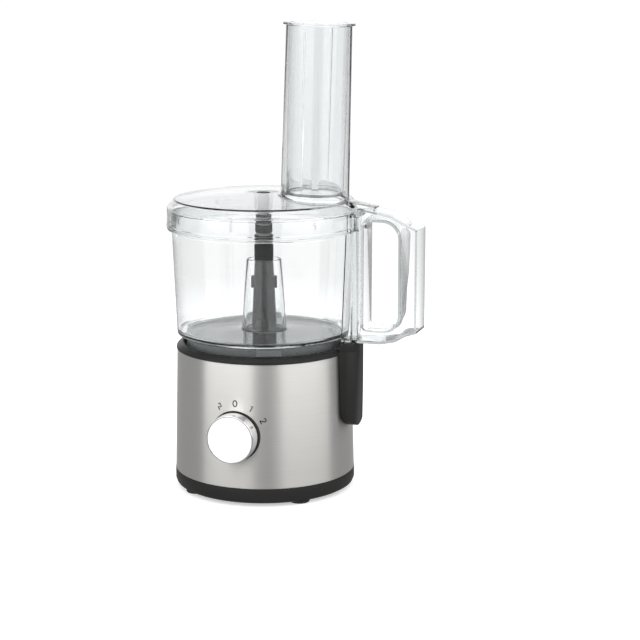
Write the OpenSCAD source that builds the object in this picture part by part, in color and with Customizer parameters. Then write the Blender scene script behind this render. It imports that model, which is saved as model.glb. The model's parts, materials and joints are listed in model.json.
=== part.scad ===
// Compact food processor: steel base with the motor, clear bowl with handle, clear lid with feed tube
// and pusher. +Z is up, the origin is on the drive axis at the level of the worktop, the knob faces -Y,
// and the bowl handle, the feed tube and the interlock column lie towards +X.

/* [Base] */
// Radius of the black pan at the foot of the base
pan_r = 83; // [82:0.5:85]
// Height of the rubber feet that show under the pan
foot_h = 3; // [2:0.5:4]
// Height of the black pan up to the steel shell
pan_h = 14.2; // [12:0.2:18]
// Radius of the steel shell at its top edge
shell_top_r = 80; // [79.5:0.1:80.5]
// Height of the top edge of the steel shell above the worktop
shell_top_z = 130; // [126:1:136]
// Thickness of the steel shell
shell_t = 1; // [0.8:0.1:1.2]

/* [Knob] */
// Radius of the knob
knob_r = 22; // [18:0.5:24]
// Height of the knob's axis above the worktop
knob_z = 65; // [62:1:68]
// How far the knob's face stands out from the drive axis
knob_face_y = 96; // [92:0.5:100]

/* [Interlock column] */
// Half of the column's width
column_hw = 20; // [19:0.5:21]
// Height of the column's round lower end
column_foot_z = 62; // [60:1:70]

/* [Bowl] */
// Thickness of the clear walls
wall = 2.2; // [1.8:0.1:2.4]
// Outer radius of the bowl just above its floor
bowl_low_r = 80.2; // [79:0.2:81]
// Outer radius of the bowl just under its flared rim
bowl_high_r = 83.4; // [82.6:0.2:83.8]
// Radius of the central chimney at its top
chimney_top_r = 15.7; // [15.4:0.1:17]
// Height of the chimney's top above the top edge of the steel shell
chimney_h = 83.6; // [70:0.2:85]

/* [Handle] */
// Half of the handle's width
handle_hw = 15; // [13:0.5:15.5]
// Distance of the grip's outer face from the drive axis
handle_x = 147.5; // [144:0.5:150]
// Depth of the grip from its outer face to the fingers
grip_d = 17; // [15:0.5:19]
// Thickness of the handle's front panel and walls
panel_t = 2.5; // [2:0.1:2.8]

/* [Lid and feed tube] */
// Outer radius of the lid's skirt
lid_r = 88; // [87.6:0.1:89]
// Distance of the feed tube from the drive axis at the lid
tube_x = 48.7; // [47:0.1:49]
// Outer radius of the feed tube at the lid
tube_low_r = 30.75; // [30:0.05:31]
// Outer radius of the feed tube at its mouth
tube_high_r = 29.4; // [29:0.1:29.8]
// Height of the feed tube's mouth above the worktop
tube_top_z = 422.5; // [380:1:440]
// Outward lean of the feed tube in degrees
tube_lean = 1.57; // [0:0.01:2]

/* [Motor] */
// Radius of the motor's stator and brackets
motor_r = 52; // [48:0.5:54]
// Radius of the drive shaft
shaft_r = 4; // [4:0.1:4.5]
// Radial gap of the shaft in its bearings and seal
run_gap = 0.05; // [0.02:0.01:0.1]

/* [Hidden] */
$fn = 96;
eps = 0.01;
gap = 0.3;                          // space between parts that move past each other
slip = 0.15;                        // space between fixed parts that nest
zt = shell_top_z;                   // every height of the bowl, lid and handle is counted from here
pan_z = foot_h;
shell_z = foot_h + pan_h;
shell_low_r = pan_r - 0.3;
pan_floor = 3;

foot_ring_r = 70;
foot_r = 9.5;
foot_angles = [45, 135, 225, 315];
post_ring_r = 68;
post_r = 4.5;
post_angles = [30, 150, 210, 330];
case_screw_r = 1.5;

vent_count = 28;
vent_ring_r = 32;
gland_z = 10.4;
gland_r = 5;
cord_r = 3.6;

plate_r = knob_r + 1.4;             // black disc behind the knob
plate_back_y = 76;
plate_front_y = 82.7;
knob_back_y = plate_front_y + 0.6;
knob_shaft_r = 3;
switch_w = 30;
switch_back_y = 58;

column_x = 93;
column_nose_r = 16;                 // rounding of the column's two outer corners
column_low_x = 90.5;
column_seam_z = zt + 3;
column_cap_z = zt + 10.5;
column_t = 2.4;
plunger_x = 87.5;                   // distance of the plunger and the push rod from the drive axis
plunger_r = 2.5;
plunger_flange_r = 3.5;
finger_x = 98.2;                    // side of the finger opening that faces the grip
plunger_top_z = zt + 12.2;
plunger_flange_z = zt - 6;
shelf_z = zt - 21;
spring_coils = 6;
spring_r = 3.1;
spring_wire = 0.35;                 // radius of the spring's wire

motor_z = 30;                       // underside of the lower motor bracket
stack_z = 48;
stack_h = 36;
bracket_top_z = 100;
bolt_ring_r = motor_r - 4.5;
bolt_r = 2;
bearing_r = 11;
bearing_h = 7;
rotor_r = 24.6;
bore_r = 25;
fan_r = 40;
fan_blades = 9;
spindle_turn = 17.5;                // the way the spindle's lugs lie at rest

rod_r = 2.7;
rod_top_z = zt + 128.2;
rod_low_z = zt + 12.5;

bowl_floor_z = zt + 17;
bowl_under_z = zt + 14.6;
skirt_r = 71;
lug_angles = [-68, 52, 172];         // bayonet lugs on the skirt
lug_w = 22;
collar_r = 87.6;
collar_z = zt + 111.4;
neck_top_z = zt + 127;
neck_r = 83.8;

lid_low_z = zt + 112;
lid_edge_z = zt + 130;
lid_flat_r = 80.7;
lid_split_r = 79;                   // where the domed top ends and the skirt begins
lid_flat_z = zt + 137.5;
lid_top_z = zt + 142;
lid_boss_z = zt + 120.6;
lid_hole_r = 6.2;
notch_hw = 16.5;
tab_hw = 8;

pusher_flange_r = 32.25;
pusher_flange_z = tube_top_z + 0.3;
pusher_r = tube_high_r - wall - 0.45;
pusher_low_z = zt + 142.5;

// ---------- helpers ----------

// The children once at each angle, at one distance from the drive axis
module around(angles, r) {
    for (a = angles) rotate([0, 0, a]) translate([r, 0, 0]) children();
}

// A ring or disc from z0 to z1 on the drive axis
module ring(r_out, r_in, z0, z1) {
    difference() {
        translate([0, 0, z0]) cylinder(r = r_out, h = z1 - z0);
        if (r_in > 0) translate([0, 0, z0 - 1]) cylinder(r = r_in, h = z1 - z0 + 2);
    }
}

// A cylinder that lies along Y, from y0 back to y1
module along_y(r, y0, y1, x = 0, z = 0) {
    translate([x, y1, z]) rotate([90, 0, 0]) cylinder(r = r, h = y1 - y0);
}

// A flat shape drawn in X and Z, given a width along Y
module across_y(half_width) {
    rotate([90, 0, 0]) translate([0, 0, -half_width]) linear_extrude(height = 2 * half_width) children();
}

// A rectangle with round corners: r_a on the two corners at x0, r_b on the two at x1
module soft_rect(x0, x1, z0, z1, r_a, r_b) {
    translate([x0 + r_a, z0]) square([x1 - x0 - r_a - r_b, z1 - z0]);
    translate([x0, z0 + r_a]) square([r_a + eps, z1 - z0 - 2 * r_a]);
    translate([x1 - r_b - eps, z0 + r_b]) square([r_b + eps, z1 - z0 - 2 * r_b]);
    for (z = [z0 + r_a, z1 - r_a]) translate([x0 + r_a, z]) circle(r = r_a);
    for (z = [z0 + r_b, z1 - r_b]) translate([x1 - r_b, z]) circle(r = r_b);
}

// Outer radius of the steel shell at a height
function shell_r(z) = shell_low_r + (shell_top_r - shell_low_r) * (z - shell_z) / (zt - shell_z);

// The space inside the steel shell's outer face, a little larger
module shell_space(extra) {
    translate([0, 0, shell_z])
        cylinder(r1 = shell_low_r + extra, r2 = shell_top_r + extra, h = zt - shell_z);
}

// The children placed on the feed tube's axis, with z counted from the worktop
module on_tube() {
    translate([tube_x, 0, lid_flat_z]) rotate([0, tube_lean, 0]) translate([0, 0, -lid_flat_z]) children();
}

// Outer radius of the feed tube at a height
function tube_r(z) =
    tube_low_r + (tube_high_r - tube_low_r) * (z - lid_flat_z) / (tube_top_z - lid_flat_z);

// ---------- base ----------

module base_pan() {
    color([0.13, 0.13, 0.13]) difference() {
        rotate_extrude() polygon([
            [0, pan_z], [pan_r - 4, pan_z], [pan_r - 1.2, pan_z + 1.6], [pan_r, pan_z + 4.6],
            [pan_r, shell_z - slip], [shell_low_r - shell_t - 0.4, shell_z - slip],
            [shell_low_r - shell_t - 0.6, shell_z + 5], [shell_low_r - shell_t - 3, shell_z + 5],
            [pan_r - 4.4, pan_z + 6], [pan_r - 7, pan_z + pan_floor], [0, pan_z + pan_floor]
        ]);
        around([for (i = [0 : vent_count - 1]) i * 360 / vent_count], vent_ring_r)
            translate([-10, -1.2, pan_z - 1]) cube([20, 2.4, pan_floor + 2]);
        around(foot_angles, foot_ring_r) translate([0, 0, pan_z - 1]) cylinder(r = 4, h = pan_floor + 2);
        around(post_angles, post_ring_r) {
            translate([0, 0, pan_z - 1]) cylinder(r = case_screw_r + 0.3, h = pan_floor + 2);
            translate([0, 0, pan_z - 1]) cylinder(r = 3.4, h = 2.4);
        }
        along_y(gland_r + slip, pan_r - 12, pan_r + 5, 0, gland_z);
    }
}

module rubber_feet() {
    color([0.2, 0.2, 0.2]) around(foot_angles, foot_ring_r) {
        cylinder(r1 = foot_r - 0.8, r2 = foot_r, h = 1);
        translate([0, 0, 1]) cylinder(r = foot_r, h = foot_h - 1 - 0.02);
        translate([0, 0, foot_h - 0.1]) cylinder(r = 3.7, h = pan_floor + 0.5);
        translate([0, 0, foot_h + pan_floor + 0.2]) cylinder(r1 = 5, r2 = 3.4, h = 2.2);
    }
}

module case_screws() {
    color("silver") around(post_angles, post_ring_r) difference() {
        union() {
            translate([0, 0, pan_z + 0.2]) cylinder(r = 3.1, h = 1.1);
            translate([0, 0, pan_z + 1.2]) cylinder(r = case_screw_r, h = 16);
        }
        for (a = [0, 90]) rotate([0, 0, a]) translate([-2, -0.35, pan_z - 0.5]) cube([4, 0.7, 1.2]);
    }
}

module steel_shell() {
    color([0.75, 0.74, 0.72]) difference() {
        translate([0, 0, shell_z]) cylinder(r1 = shell_low_r, r2 = shell_top_r, h = zt - shell_z);
        translate([0, 0, shell_z - 1]) cylinder(
            r1 = shell_low_r - shell_t + (shell_low_r - shell_top_r) / (zt - shell_z),
            r2 = shell_top_r - shell_t - (shell_low_r - shell_top_r) / (zt - shell_z),
            h = zt - shell_z + 2
        );
        along_y(plate_r + slip, -pan_r - 5, -50, 0, knob_z);
        translate([60, -10, zt - 52]) cube([40, 20, 40]);
    }
}

module top_housing() {
    color([0.15, 0.15, 0.15]) {
        difference() {
            rotate_extrude() polygon([
                [6, zt + 7.5], [61.5, zt + 6.5], [63.2, zt - 1.5], [75.6, zt - 1.5], [75.6, zt - 9],
                [shell_top_r - shell_t - 0.4, zt - 9], [shell_top_r - shell_t - 0.4, zt + 0.05],
                [shell_top_r + 0.7, zt + 0.05], [shell_top_r + 0.4, zt + 2.2], [77.4, zt + 5],
                [75.2, zt + 6], [73.8, zt + 5.4], [73.5, zt + 1.2], [67, zt + 1.2], [66, zt + 8.6],
                [64.6, zt + 9.6], [11, zt + 10.4], [10, zt + 13.6], [6, zt + 13.6]
            ]);
            translate([72.5, -column_hw - 0.2, zt - 12]) cube([20, 2 * column_hw + 0.4, 30]);
        }
        around(post_angles, post_ring_r) difference() {
            translate([0, 0, pan_z + pan_floor + 0.1]) cylinder(r = post_r, h = zt - 1.5 - pan_z - pan_floor);
            translate([0, 0, pan_z + pan_floor - 1]) cylinder(r = case_screw_r + 0.05, h = 22);
        }
        around(foot_angles, bolt_ring_r) difference() {
            translate([0, 0, bracket_top_z + 0.1]) cylinder(r = 5, h = zt + 7 - bracket_top_z - 0.1);
            translate([0, 0, bracket_top_z - 1]) cylinder(r = bolt_r + 0.1, h = 18);
        }
    }
}

// The column's outer form, grown inwards by t on every side
module column_form(t) {
    intersection() {
        across_y(column_hw + 1) polygon([
            [60, column_foot_z - 5 + t], [column_low_x - t, column_foot_z - 5 + t],
            [column_x - t, column_seam_z - 2.5 * t], [60, column_seam_z - 2.5 * t]
        ]);
        translate([60, 0, 0]) rotate([90, 0, 90]) linear_extrude(height = 50) {
            translate([0, column_foot_z + column_hw]) circle(r = column_hw - t);
            translate([-column_hw + t, column_foot_z + column_hw])
                square([2 * (column_hw - t), column_seam_z - column_foot_z - column_hw + 1]);
        }
        linear_extrude(height = column_seam_z + 5)
            soft_rect(50, column_x - t, -column_hw + t, column_hw - t, 2, column_nose_r);
    }
}

module interlock_column() {
    color([0.14, 0.14, 0.14]) {
        difference() {
            column_form(0);
            shell_space(slip);
            intersection() {
                column_form(column_t);
                translate([60, -40, 0]) cube([60, 80, shelf_z - 3]);
            }
            translate([60, -5, shelf_z]) cube([column_x - 61.7, 10, column_seam_z - shelf_z + 5]);
            translate([plunger_x, 0, shelf_z - 9]) cylinder(r = 2.3, h = 10);
            translate([0, 0, zt - 5]) cylinder(r = 74, h = 10);
            translate([50, -30, zt - 5]) cube([22.7, 60, 10]);
        }
    }
}

module column_cap() {
    color([0.14, 0.14, 0.14]) difference() {
        intersection() {
            translate([0, 0, column_seam_z + 0.05])
                linear_extrude(height = column_cap_z - column_seam_z - 0.05)
                    soft_rect(50, column_x, -column_hw, column_hw, 2, column_nose_r);
            across_y(column_hw + 1) polygon([
                [73.9, zt], [column_x + 1, zt], [column_x + 1, column_cap_z - 2.5],
                [column_x - 2, column_cap_z], [80, column_cap_z], [78.4, zt + 5.6], [73.9, zt + 5.6]
            ]);
        }
        translate([0, 0, zt - 5]) cylinder(r = 74, h = 30);
        rotate_extrude() polygon([
            [0, zt - 20], [81, zt - 20], [81, zt + 3.4], [79.6, zt + 4.6], [0, zt + 4.6]
        ]);
        rotate_extrude() polygon([
            [0, zt + 8], [74, zt + 8], [82, zt + 13.6], [82, zt + 20], [0, zt + 20]
        ]);
        translate([plunger_x, 0, zt]) cylinder(r = rod_r + gap, h = 20);
    }
}

module interlock_switch() {
    color([0.25, 0.25, 0.27]) {
        translate([82, -9, shelf_z - 24]) cube([6.4, 18, 10]);
        translate([plunger_x - 0.8, 0, shelf_z - 14 - eps]) cylinder(r = 1.2, h = 1.6);
        for (y = [-6, 0, 6]) translate([84.8, y - 1.2, shelf_z - 28]) cube([0.8, 2.4, 4.1]);
    }
}

// Points of a ring that lies across a helix at turn angle a
function helix_ring(x, r, wire, z0, z1, turns, a, sides) =
    let (z = z0 + (z1 - z0) * a / (360 * turns))
    [for (k = [0 : sides - 1])
        let (rr = r + wire * cos(k * 360 / sides))
        [x + rr * cos(a), rr * sin(a), z + wire * sin(k * 360 / sides)]];

module interlock_spring() {
    sides = 8;
    step = 18;
    count = spring_coils * 360 / step;
    points = [for (i = [0 : count])
        each helix_ring(plunger_x, spring_r, spring_wire, shelf_z + 0.5, plunger_flange_z - 0.5,
                        spring_coils, i * step, sides)];
    walls = [for (i = [0 : count - 1], k = [0 : sides - 1])
        let (a = i * sides + k, b = i * sides + (k + 1) % sides)
        each [[a, a + sides, b], [b, a + sides, b + sides]]];
    first = [[for (k = [0 : sides - 1]) k]];
    last = [[for (k = [sides - 1 : -1 : 0]) count * sides + k]];
    color("silver") polyhedron(points = points, faces = concat(walls, first, last));
}

module interlock_plunger() {
    color([0.15, 0.15, 0.15]) {
        translate([plunger_x, 0, plunger_flange_z]) cylinder(r = plunger_r, h = plunger_top_z - plunger_flange_z);
        translate([plunger_x, 0, plunger_flange_z]) cylinder(r = plunger_flange_r, h = 2);
        translate([plunger_x, 0, shelf_z - 8.2]) cylinder(r = 1.8, h = plunger_flange_z - shelf_z + 9);
    }
}

module cord_gland() {
    color([0.1, 0.1, 0.1]) difference() {
        union() {
            along_y(gland_r, pan_r - 8, pan_r + 1, 0, gland_z);
            along_y(gland_r + 1.2, pan_r + 0.3, pan_r + 2.4, 0, gland_z);
        }
        along_y(cord_r, pan_r - 10, pan_r + 5, 0, gland_z);
    }
}

// ---------- knob and switch ----------

module dial_plate() {
    color([0.1, 0.1, 0.1]) difference() {
        along_y(plate_r, -plate_front_y, -plate_back_y, 0, knob_z);
        along_y(knob_shaft_r + gap, -pan_r - 5, -50, 0, knob_z);
    }
}

module rotary_switch() {
    color([0.85, 0.83, 0.78]) difference() {
        union() {
            translate([-switch_w / 2, -plate_back_y + 0.3, knob_z - switch_w / 2])
                cube([switch_w, plate_back_y - switch_back_y - 0.3, switch_w]);
            for (x = [-9, -3, 3, 9]) translate([x - 1.2, -switch_back_y - 1, knob_z - 20]) cube([2.4, 0.8, 6]);
        }
        along_y(knob_shaft_r + gap, -pan_r, -switch_back_y - 4, 0, knob_z);
        along_y(7.2, -pan_r, -plate_back_y + 3.3, 0, knob_z);
    }
}

module switch_nut() {
    color("silver") difference() {
        translate([0, -plate_back_y + 3, knob_z]) rotate([90, 0, 0]) cylinder(r = 6.8, h = 2.6, $fn = 6);
        along_y(knob_shaft_r + gap + 0.4, -pan_r, -50, 0, knob_z);
    }
}

module knob() {
    color([0.88, 0.88, 0.87]) difference() {
        translate([0, 0, knob_z]) rotate([90, 0, 0]) rotate_extrude() polygon([
            [0, knob_back_y], [knob_r, knob_back_y], [knob_r, knob_face_y - 1.4],
            [knob_r - 0.5, knob_face_y - 0.5], [knob_r - 1.5, knob_face_y], [0, knob_face_y]
        ]);
        along_y(knob_shaft_r, -knob_back_y - 7, -50, 0, knob_z);
    }
}

module knob_shaft() {
    color("silver") along_y(knob_shaft_r - 0.02, -knob_back_y - 6.9, -switch_back_y - 4.5, 0, knob_z);
}

// ---------- motor ----------

// One motor end bracket: a cup with a bearing seat, its plate between z0 and z1
module bracket(rim_z0, rim_z1, plate_z0, plate_z1, hub_z0, hub_z1) {
    color([0.72, 0.73, 0.75]) difference() {
        union() {
            ring(motor_r, 43, rim_z0, rim_z1);
            ring(44, 12, plate_z0, plate_z1);
            ring(bearing_r + 3.4, bearing_r + 0.03, hub_z0, hub_z1);
        }
        translate([0, 0, hub_z0 - 1]) cylinder(r = bearing_r + 0.03, h = hub_z1 - hub_z0 + 2);
        around(foot_angles, bolt_ring_r) translate([0, 0, rim_z0 - 1])
            cylinder(r = bolt_r + 0.2, h = rim_z1 - rim_z0 + 2);
        around([for (i = [0 : 7]) i * 45], 30) translate([0, 0, plate_z0 - 1])
            cylinder(r = 5, h = plate_z1 - plate_z0 + 2);
    }
}

module lower_bracket() { bracket(motor_z, stack_z - 0.05, motor_z, motor_z + 3.5, motor_z, motor_z + 9); }

module upper_bracket() {
    bracket(stack_z + stack_h + 0.05, bracket_top_z, bracket_top_z - 3.5, bracket_top_z,
            bracket_top_z - 9, bracket_top_z);
}

module stator_core() {
    color([0.45, 0.45, 0.47]) difference() {
        ring(motor_r, bore_r, stack_z, stack_z + stack_h);
        around(foot_angles, bolt_ring_r) translate([0, 0, stack_z - 1])
            cylinder(r = bolt_r + 0.2, h = stack_h + 2);
    }
}

module stator_windings() {
    color([0.72, 0.38, 0.2])
        for (z = [stack_z - 11.3, stack_z + stack_h + 0.3]) rotate_extrude()
            soft_rect(27.5, 41, z, z + 11, 3, 4);
}

module motor_bolts() {
    color("silver") around(foot_angles, bolt_ring_r) {
        translate([0, 0, motor_z - 3.2]) cylinder(r = 3.6, h = 3.1, $fn = 6);
        translate([0, 0, motor_z - 0.2]) cylinder(r = bolt_r, h = bracket_top_z + 15 - motor_z);
    }
}

module bearing(z) {
    color([0.8, 0.8, 0.82]) difference() {
        ring(bearing_r, shaft_r + run_gap, z, z + bearing_h);
        for (f = [z - 1, z + bearing_h - 0.4]) ring(9, 6.2, f, f + 1.4);
    }
}

module lower_bearing() { bearing(motor_z + 1); }

module upper_bearing() { bearing(bracket_top_z - bearing_h - 1); }

module shaft_seal() {
    color([0.1, 0.1, 0.1]) ring(5.95, shaft_r + run_gap, zt + 8.5, zt + 12.5);
}

module control_board() {
    color([0.1, 0.35, 0.2]) difference() {
        translate([-30, 60, 38]) cube([60, 1.6, 50]);
        for (x = [-26, 26], z = [42, 84]) along_y(1.6, 58, 64, x, z);
    }
}

module board_parts() {
    color([0.2, 0.25, 0.55]) {
        translate([-22, 61.65, 46]) cube([15, 6, 18]);
        translate([4, 61.65, 44]) cube([10, 5, 12]);
        along_y(5, 61.65, 69, 10, 72);
        translate([-20, 61.65, 70]) cube([18, 5, 8]);
    }
}

module run_capacitor() {
    color([0.85, 0.85, 0.82]) translate([-66, 0, 0]) {
        translate([0, 0, 30]) cylinder(r = 11.5, h = 62);
        for (y = [-4, 4]) translate([-0.4, y - 1.6, 91.9]) cube([0.8, 3.2, 7]);
    }
}

module motor_shaft() {
    color([0.8, 0.8, 0.82]) translate([0, 0, 12]) cylinder(r = shaft_r, h = zt + 72 - 12);
}

module rotor_core() { color([0.5, 0.5, 0.52]) ring(rotor_r, shaft_r + 0.01, stack_z - 2, stack_z + stack_h + 2); }

module rotor_end_rings() {
    color([0.78, 0.79, 0.8]) {
        ring(rotor_r - 1, 15, stack_z - 6, stack_z - 2.02);
        ring(rotor_r - 1, 15, stack_z + stack_h + 2.02, stack_z + stack_h + 6);
    }
}

module cooling_fan() {
    color([0.2, 0.2, 0.22]) difference() {
        union() {
            translate([0, 0, 14]) cylinder(r = 7, h = 12);
            translate([0, 0, 24]) cylinder(r = fan_r, h = 1.8);
            for (i = [0 : fan_blades - 1]) rotate([0, 0, i * 360 / fan_blades])
                translate([6, -1, 15.5]) cube([fan_r - 7.5, 2, 9]);
        }
        translate([0, 0, 10]) cylinder(r = shaft_r + 0.01, h = 20);
    }
}

module shaft_clip() { color("silver") ring(7, shaft_r + 0.01, 12.6, 13.6); }

module spindle() {
    color([0.25, 0.26, 0.26]) rotate([0, 0, spindle_turn]) difference() {
        union() {
            rotate_extrude() polygon([
                [0, zt + 16], [10.2, zt + 16], [11.2, zt + 17], [11.2, zt + 24], [8.6, zt + 80], [0, zt + 80]
            ]);
            for (a = [0, 180]) rotate([0, 0, a]) intersection() {
                translate([0, -3, zt + 55.5]) cube([12, 6, 10.7]);
                translate([0, 0, zt + 50]) cylinder(r = 12, h = 20);
            }
        }
        translate([0, 0, zt]) cylinder(r = shaft_r + 0.01, h = 72.2);
        translate([-1.7, -20, zt + 26]) cube([3.4, 14.5, 50]);
    }
}

module spindle_cap() {
    color([0.17, 0.17, 0.17]) rotate_extrude() polygon([
        [0, zt + 80.02], [8.65, zt + 80.02], [8.65, zt + 94.4], [7.9, zt + 97.4], [7.9, zt + 98.4],
        [7.7, zt + 98.4], [7.7, zt + 105.2], [6.9, zt + 106], [6.9, zt + 117],
        [5.6, zt + 117.02], [5.6, zt + 140], [4.8, zt + 141], [0, zt + 141]
    ]);
}

module spindle_collar() { color([0.6, 0.6, 0.6]) ring(6.8, 5.62, zt + 117.2, zt + 118.7); }

// ---------- bowl ----------

module bowl() {
    color([0.8, 0.85, 0.87, 0.4]) difference() {
        union() {
            bowl_revolve();
            around(lug_angles, skirt_r - 0.5) translate([0, -lug_w / 2, zt + 6.6]) cube([5.5, lug_w, 6]);
        }
        translate([plunger_x, 0, zt + 100]) cylinder(r = rod_r + gap, h = 20);
    }
}

module bowl_revolve() {
    rotate_extrude() polygon([
        [skirt_r - 2, zt + 1.4], [skirt_r, zt + 1.4], [skirt_r, zt + 13], [77, zt + 13.6],
        [bowl_low_r - 1, zt + 14.6], [bowl_low_r, zt + 16.5], [bowl_high_r, zt + 108.6], [collar_r, zt + 110.4],
        [collar_r, collar_z], [neck_r, collar_z], [neck_r, neck_top_z], [neck_r - wall, neck_top_z],
        [bowl_high_r - wall, zt + 108.6], [bowl_low_r - wall + 0.1, zt + 21], [bowl_low_r - wall - 2, zt + 18],
        [bowl_low_r - wall - 5, bowl_floor_z], [chimney_top_r + 6.4, bowl_floor_z],
        [chimney_top_r + 3.8, zt + 19.6], [chimney_top_r, zt + chimney_h],
        [chimney_top_r - 2, zt + chimney_h], [chimney_top_r + 1.8, bowl_under_z],
        [skirt_r - 2, bowl_under_z]
    ]);
}

// The space that the bowl takes up, solid, for cutting the handle to it
module bowl_space() {
    rotate_extrude() polygon([
        [0, zt], [skirt_r, zt], [skirt_r, zt + 13], [77, zt + 13.6], [bowl_low_r - 1, zt + 14.6],
        [bowl_low_r, zt + 16.5], [bowl_high_r, zt + 108.6], [collar_r, zt + 110.4],
        [collar_r, collar_z], [neck_r, collar_z], [neck_r, neck_top_z + 20], [0, neck_top_z + 20]
    ]);
}

// The finger opening in the handle, grown by t on every side
module finger_opening(t) {
    soft_rect(finger_x - t, handle_x - grip_d + t, zt + 24 - t, zt + 121.5 + t, 4 + t, 15 + t);
}

// The handle is a channel: a front panel with walls round its edges, open at the back
module bowl_handle() {
    color([0.8, 0.85, 0.87, 0.4]) difference() {
        union() {
            difference() {
                across_y(handle_hw) difference() {
                    polygon([
                        [72, zt + 11.6], [113.5, zt + 11.4], [128, zt + 14], [handle_x - 10, zt + 20],
                        [handle_x, zt + 23], [handle_x, zt + 116], [handle_x - 11.5, zt + 121.5],
                        [123, zt + 128], [102, zt + 131.6], [90.6, zt + 131.6], [90.6, zt + 127],
                        [72, zt + 127]
                    ]);
                    finger_opening(0);
                }
                translate([0, panel_t, 0]) across_y(handle_hw) difference() {
                    polygon([
                        [74, zt + 14], [113.3, zt + 13.9], [127.2, zt + 16.4],
                        [handle_x - 10.9, zt + 22.4], [handle_x - panel_t, zt + 24.9],
                        [handle_x - panel_t, zt + 114.4], [handle_x - 12.6, zt + 119.3],
                        [122.1, zt + 125.7], [102, zt + 129.1], [93.1, zt + 129.1],
                        [93.1, zt + 124.5], [74, zt + 124.5]
                    ]);
                    finger_opening(panel_t);
                }
            }
            translate([plunger_x, 0, zt + 11.6]) cylinder(r = rod_r + gap + 1.7, h = 115.4);
        }
        bowl_space();
        translate([plunger_x, 0, zt]) cylinder(r = rod_r + gap, h = 160);
    }
}

module push_rod() {
    color([0.85, 0.87, 0.88, 0.5]) translate([plunger_x, 0, rod_low_z]) {
        cylinder(r = rod_r, h = rod_top_z - rod_low_z - 1.5);
        translate([0, 0, rod_top_z - rod_low_z - 1.5]) cylinder(r1 = rod_r, r2 = rod_r - 1.5, h = 1.5);
    }
}

// ---------- lid, feed tube and pusher ----------

// Height of the lid's slightly domed top at a radius
function dome_z(r) = lid_flat_z + (lid_top_z - lid_flat_z) * (1 - pow(r / lid_flat_r, 2));

// The lid's outer form, solid down to z0
module lid_space(z0) {
    rotate_extrude() polygon(concat(
        [[0, z0], [lid_r, z0], [lid_r, lid_edge_z]],
        [for (i = [8 : -1 : 0]) [lid_flat_r * i / 8, dome_z(lid_flat_r * i / 8)]]
    ));
}

// The tab that reaches from the lid over the top of the handle
module lid_tab() {
    color([0.8, 0.85, 0.87, 0.4]) difference() {
        across_y(tab_hw) polygon([
            [79.9, zt + 132], [79.9, zt + 138.2], [84.5, zt + 137.6], [102, zt + 134.4],
            [106.5, zt + 133.6], [106.5, zt + 132]
        ]);
        lid_space(zt + 100);
    }
}

// The lid's boss, domed top and skirt in one
module lid_revolve() {
    rotate_extrude() polygon(concat(
        [[lid_hole_r, lid_boss_z], [lid_hole_r + 2, lid_boss_z], [lid_hole_r + 2.6, dome_z(0) - wall]],
        [for (i = [1 : 8]) [(lid_flat_r - 0.9) * i / 8, dome_z(lid_flat_r * i / 8) - wall]],
        [[lid_r - wall + 0.2, lid_edge_z - 0.9], [lid_r - wall + 0.2, lid_low_z], [lid_r, lid_low_z],
         [lid_r, lid_edge_z]],
        [for (i = [8 : -1 : 1]) [lid_flat_r * i / 8, dome_z(lid_flat_r * i / 8)]],
        [[lid_hole_r, dome_z(lid_hole_r)]]
    ));
}

module lid() {
    color([0.8, 0.85, 0.87, 0.4]) difference() {
        intersection() {
            lid_revolve();
            translate([0, 0, lid_low_z]) cylinder(r = lid_split_r, h = 60);
        }
        on_tube() translate([0, 0, lid_edge_z]) cylinder(r = tube_low_r - wall, h = 60);
    }
}

module lid_skirt() {
    color([0.8, 0.85, 0.87, 0.4]) difference() {
        lid_revolve();
        translate([0, 0, zt]) cylinder(r = lid_split_r + 0.02, h = 200);
        translate([70, -notch_hw, zt + 100]) cube([40, 2 * notch_hw, 28.6]);
    }
}

module feed_tube() {
    color([0.8, 0.85, 0.87, 0.4]) difference() {
        on_tube() difference() {
            translate([0, 0, lid_flat_z - 4])
                cylinder(r1 = tube_r(lid_flat_z - 4), r2 = tube_high_r, h = tube_top_z - lid_flat_z + 4);
            translate([0, 0, lid_flat_z - 10]) cylinder(
                r1 = tube_r(lid_flat_z - 10) - wall, r2 = tube_r(tube_top_z + 2) - wall,
                h = tube_top_z - lid_flat_z + 12
            );
        }
        lid_space(lid_edge_z - 10);
    }
}

module pusher() {
    color([0.8, 0.85, 0.87, 0.4]) on_tube() rotate_extrude() polygon([
        [0, pusher_low_z], [pusher_r - 1.8, pusher_low_z], [pusher_r - 0.8, pusher_low_z + 1],
        [pusher_r, pusher_flange_z], [pusher_flange_r, pusher_flange_z],
        [pusher_flange_r, pusher_flange_z + 1.4], [pusher_flange_r - 0.6, pusher_flange_z + 2],
        [pusher_r - 1.6, pusher_flange_z + 2], [pusher_r - 2.5, pusher_low_z + 2], [0, pusher_low_z + 2]
    ]);
}

base_pan();
rubber_feet();
case_screws();
steel_shell();
top_housing();
interlock_column();
column_cap();
interlock_switch();
interlock_spring();
interlock_plunger();
cord_gland();
dial_plate();
rotary_switch();
switch_nut();
knob();
knob_shaft();
lower_bracket();
upper_bracket();
stator_core();
stator_windings();
motor_bolts();
lower_bearing();
upper_bearing();
shaft_seal();
control_board();
board_parts();
run_capacitor();
motor_shaft();
rotor_core();
rotor_end_rings();
cooling_fan();
shaft_clip();
spindle();
spindle_cap();
spindle_collar();
bowl();
bowl_handle();
push_rod();
lid();
lid_skirt();
lid_tab();
feed_tube();
pusher();
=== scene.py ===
import json
import math

import bmesh
import bpy
from mathutils import Matrix, Vector


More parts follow.
